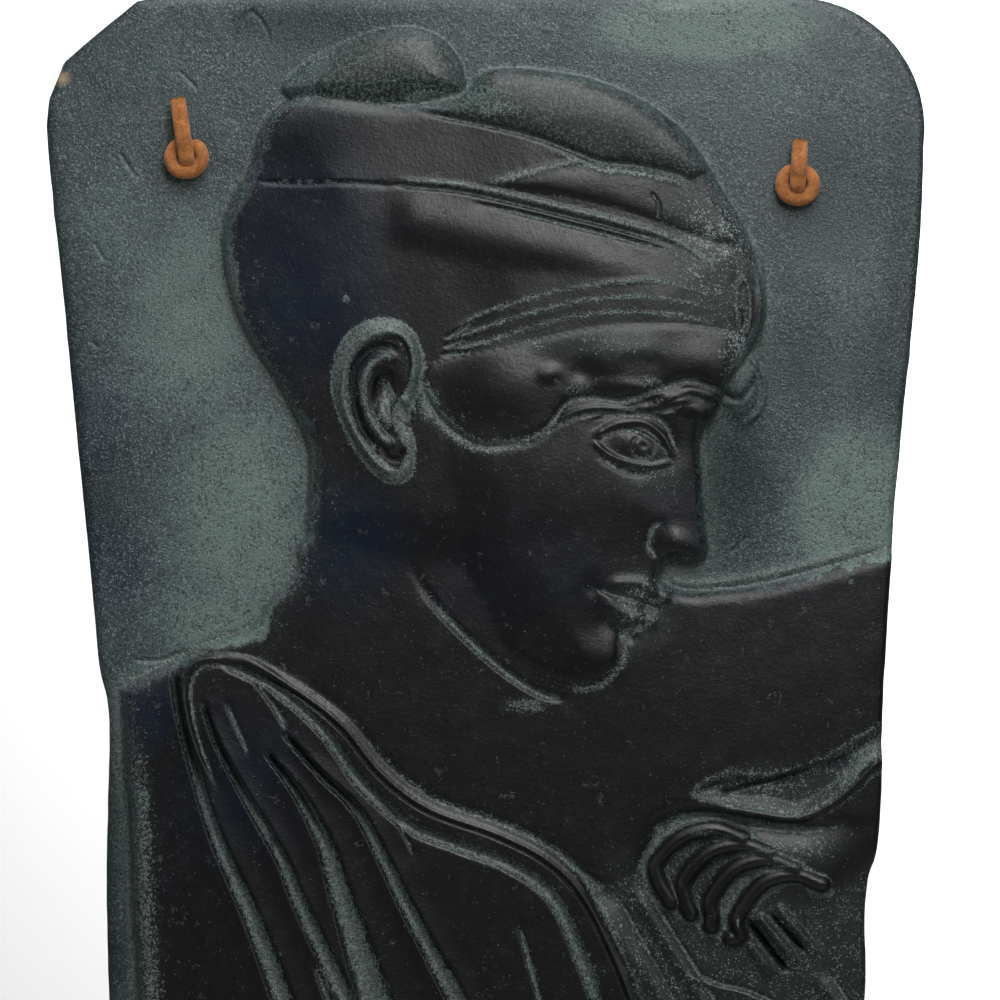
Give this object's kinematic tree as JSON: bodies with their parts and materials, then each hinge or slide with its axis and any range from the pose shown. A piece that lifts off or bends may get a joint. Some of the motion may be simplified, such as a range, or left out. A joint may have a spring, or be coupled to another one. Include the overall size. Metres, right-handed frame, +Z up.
{
  "type": "relief plaque",
  "caption": "Glazed ceramic wall plaque with a draped classical figure in low relief, hung on a short knotted leather thong.",
  "frame": {"origin": "the top of the wall nail under the middle of the thong, where the nail meets the plaque's flat back", "axes": "+Z up, +X to the right of somebody who looks at the front, the relief faces -Y and the flat back lies in Y = 0"},
  "size_m": [0.1878, 0.0203, 0.237],
  "materials": {
    "glazed_clay": "satin dark blue-black glaze that breaks to powdery grey-green in the recesses and on the ground",
    "leather": "undyed orange-tan suede lace, cut ends"
  },
  "bodies": {
    "root": {"plaque": "glazed_clay", "thong": "leather", "thong_knot_left": "leather", "thong_knot_right": "leather"}
  },
  "joints": []
}
